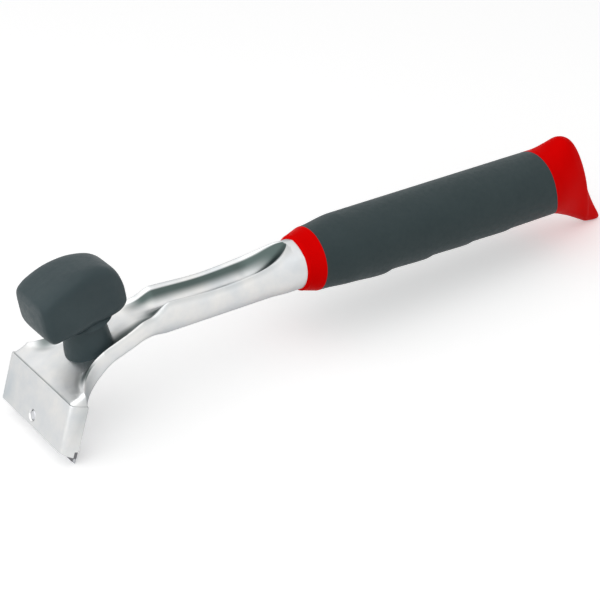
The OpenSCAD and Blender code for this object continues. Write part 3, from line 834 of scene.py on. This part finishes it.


# Painted shade on the casting, as tones from 0 to 1: the middle of the hollow's walls, its rear
# end and its lips, a strip beside the near flange, the flanges' roots at the head and the outer
# sides in front of the stem; and the dark seam line on the fine step in front of the seat. ALONG
# spans lie along x, ACROSS spans are shares of the hollow's half-width.

SEAM_TONE = 0.35
SEAM_NEAR = 0.06
SEAM_CLEAR = 1.0
SIDE_PAINTED_SHADE = 0.3
SIDE_BELOW = 1.2
SIDE_SHARE = 0.93
SIDE_ALONG = (2 - HEAD_REACH, 8 - HEAD_REACH, STEM_X - 12, STEM_X)
ROOT_PAINTED_SHADE = 0.9
ROOT_AT = (12.5, 16.5)  # middle of the patch: behind the front edge, and across
ROOT_SIZE = (7.5, 6.5)
ROOT_FULL = 0.2
LIP_PAINTED_SHADE = 0.22
LIP_ACROSS = (0.85, 1)
LIP_BELOW = (2.5, 0.5)
LIP_DEPTH = 0.02
LEAST_DEPTH = 0.5
FLOOR_BELOW = 0.4
WALL_ACROSS = (0.1, 0.62, 0.76, 0.84)
WALL_ALONG = (SEAT_END - 2, SEAT_END + 9)
REAR_ACROSS = (0.72, 0.9)
REAR_ALONG = (-26, -9)
STRIP_PAINTED_SHADE = 0.85
STRIP_ACROSS = (0.35, 0.7, 0.94, 1)
STRIP_ALONG = (SEAT_END - 18, SEAT_END - 12, SEAT_END + 2, SEAT_END + 14)


def in_seam(x, y, z):
    """Whether a point lies on the fine step's own face, away from its ends."""
    back = (x + HEAD_REACH) * math.cos(HEAD_LEAN) - (z + HEAD_DROP) * math.sin(HEAD_LEAN)
    inside = abs(y) < HEAD_W / 2 - SEAM_CLEAR and z > -HEAD_DROP - SEAM_CLEAR
    return inside and abs(back - SEAM) < SEAM_NEAR


def root_painted_shade(x, y):
    """Round patch of painted shade at the root of each flange."""
    off = math.hypot((x + HEAD_REACH - ROOT_AT[0]) / ROOT_SIZE[0],
                     (abs(y) - ROOT_AT[1]) / ROOT_SIZE[1])
    return ROOT_PAINTED_SHADE * (1 - fade(off, ROOT_FULL, 1))


def hollow_painted_shade(x, y, z):
    """Painted shade on the lips, walls and rear end of the hollow, and on a strip beside the near
    flange.
    """
    top, floor = lip_z(x), floor_z(x)
    u = abs(y) / opening(x)
    depth = (top - z) / max(top - floor, LEAST_DEPTH)
    lip = LIP_PAINTED_SHADE * fade(u, *LIP_ACROSS) * fade(z, top - LIP_BELOW[0], top - LIP_BELOW[1])
    if u > 1 or depth < LIP_DEPTH or z < floor - FLOOR_BELOW:
        return lip
    wall_shade = mix(band(u, WALL_ACROSS), 1 - fade(u, *REAR_ACROSS), fade(x, *REAR_ALONG))
    # Painted shadow strip beside the near flange, on the near side only
    near_strip_shade = STRIP_PAINTED_SHADE * band(u, STRIP_ACROSS) * band(x, STRIP_ALONG) if y < 0 else 0
    return max(wall_shade * fade(x, *WALL_ALONG), lip, near_strip_shade)


# Dark tone of the seam line on the fine step, and painted shade elsewhere on the casting, from 0
# to 1
def seam_line_and_painted_shade(x, y, z):
    if in_seam(x, y, z):
        return SEAM_TONE
    # Painted shade on the flare's outer sides in front of the stem
    if x < STEM_X and z < lip_z(x) - SIDE_BELOW and abs(y) > SIDE_SHARE * half_w(x):
        return SIDE_PAINTED_SHADE * band(x, SIDE_ALONG)
    # Painted shade at the flanges' roots
    if x < STEM_X and z > floor_z(x) - FLOOR_BELOW:
        return root_painted_shade(x, y)
    # Painted shade on the hollow's lips, walls and rear end, and beside the near flange
    if STRIP_ALONG[0] < x < -HOLLOW_FROM:
        return hollow_painted_shade(x, y, z)
    return 0.0


# Each vertex of the casting gets its painted shade, or its seam line tone, in the "hollow"
# attribute
to_handle = AT_REST.inverted()
seam_and_shade_layer = shaft.data.attributes.new("hollow", "FLOAT", "POINT")
for i, vertex in enumerate(shaft.data.vertices):
    seam_and_shade_layer.data[i].value = seam_line_and_painted_shade(*(to_handle @ vertex.co))


# Riding on the root, in place of the hidden nodes

for piece, nodes, slot in ((shaft, ["shaft"], "cast_aluminium"),
                           (core, ["handle_core"], "red_plastic"),
                           (grip, ["grip"], "grip_rubber"),
                           (knob, ["knob"], "knob_rubber")):
    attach(piece, "root")
    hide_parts(*nodes)


# Camera where the photograph was taken, in the handle's frame

CAMERA_AT = Vector((-332.03, -479.28, 303.15))
CAMERA_TURN = math.radians(-35.006)
CAMERA_RISE = math.radians(28.774)
CAMERA_ROLL = math.radians(-0.368)
LENS_PX = 1600
FRAME_PX = 600
SENSOR = 36.0
CLIP_START = 0.01
CLIP_END = 50

camera_data = bpy.data.cameras.new("camera")
camera_data.sensor_width = SENSOR
camera_data.lens = SENSOR * LENS_PX / FRAME_PX
camera_data.clip_start = CLIP_START
camera_data.clip_end = CLIP_END
camera = bpy.data.objects.new("camera", camera_data)
bpy.context.scene.collection.objects.link(camera)
camera.matrix_world = (
    Matrix.Translation(AT_REST @ CAMERA_AT) @ TILT @ Matrix.Rotation(CAMERA_TURN, 4, "Z")
    @ Matrix.Rotation(math.pi / 2 - CAMERA_RISE, 4, "X") @ Matrix.Rotation(CAMERA_ROLL, 4, "Z"))
bpy.context.scene.camera = camera


# Pale floor, white surroundings and soft lamps

bpy.context.scene.view_settings.view_transform = "Standard"

WHITE = (1, 1, 1, 1)
WORLD_LIGHT = 0.31
FLOOR_HALF = 3.0
FLOOR_LIT = (0.8, 0.8, 0.8)
FLOOR_SEEN = (0.99, 0.99, 0.99)
FLOOR_GLOW = 0.3
MIDDLE = (0.12, 0, 0.03)


def seen_directly(tree):
    """1 for rays from the camera and for reflected or refracted ones, 0 for diffuse light."""
    nodes, links = tree.nodes, tree.links
    path = nodes.new("ShaderNodeLightPath")
    total = path.outputs["Is Camera Ray"]
    for output in ("Is Glossy Ray", "Is Transmission Ray"):
        add = nodes.new("ShaderNodeMath")
        add.operation = "MAXIMUM"
        links.new(total, add.inputs[0])
        links.new(path.outputs[output], add.inputs[1])
        total = add.outputs[0]
    return total


def if_seen(tree, unseen, seen):
    """One value for diffuse light, and another for what is seen directly."""
    return scaled(tree, seen_directly(tree), unseen, seen, start=0, end=1)


world = bpy.data.worlds.new("studio")
bpy.context.scene.world = world
world.use_nodes = True
background = world.node_tree.nodes["Background"]
background.inputs["Color"].default_value = WHITE
world.node_tree.links.new(if_seen(world.node_tree, WORLD_LIGHT, 1), background.inputs["Strength"])

floor_corners = [(-FLOOR_HALF, -FLOOR_HALF, 0), (FLOOR_HALF, -FLOOR_HALF, 0),
                 (FLOOR_HALF, FLOOR_HALF, 0), (-FLOOR_HALF, FLOOR_HALF, 0)]
floor_mesh = bpy.data.meshes.new("floor")
floor_mesh.from_pydata(floor_corners, [], [(0, 1, 2, 3)])
floor = bpy.data.objects.new("floor", floor_mesh)
bpy.context.scene.collection.objects.link(floor)
floor_material, floor_shader = material("pale_floor", (0.9, 0.9, 0.9), roughness=0.9)
floor_shader.inputs["Specular IOR Level"].default_value = 0
floor_shader.inputs["Emission Color"].default_value = WHITE
floor_tree = floor_material.node_tree
floor_colour = blended(floor_tree, seen_directly(floor_tree), FLOOR_LIT, FLOOR_SEEN)
floor_tree.links.new(floor_colour, floor_shader.inputs["Base Color"])
floor_glow = if_seen(floor_tree, 0, FLOOR_GLOW)
floor_tree.links.new(floor_glow, floor_shader.inputs["Emission Strength"])
finish(floor, floor_material)


def lamp(name, at, aim, size, power):
    """A square soft lamp at a place in metres, aimed at another."""
    data = bpy.data.lights.new(name, "AREA")
    data.shape = "SQUARE"
    data.size = size
    data.energy = power
    obj = bpy.data.objects.new(name, data)
    bpy.context.scene.collection.objects.link(obj)
    obj.location = at
    obj.rotation_euler = (Vector(aim) - Vector(at)).to_track_quat("-Z", "Y").to_euler()


lamp("key", at=(-0.6, -0.2, 1.1), aim=MIDDLE, size=3.2, power=25)
lamp("fill", at=(0.9, -0.8, 0.7), aim=MIDDLE, size=3, power=3)
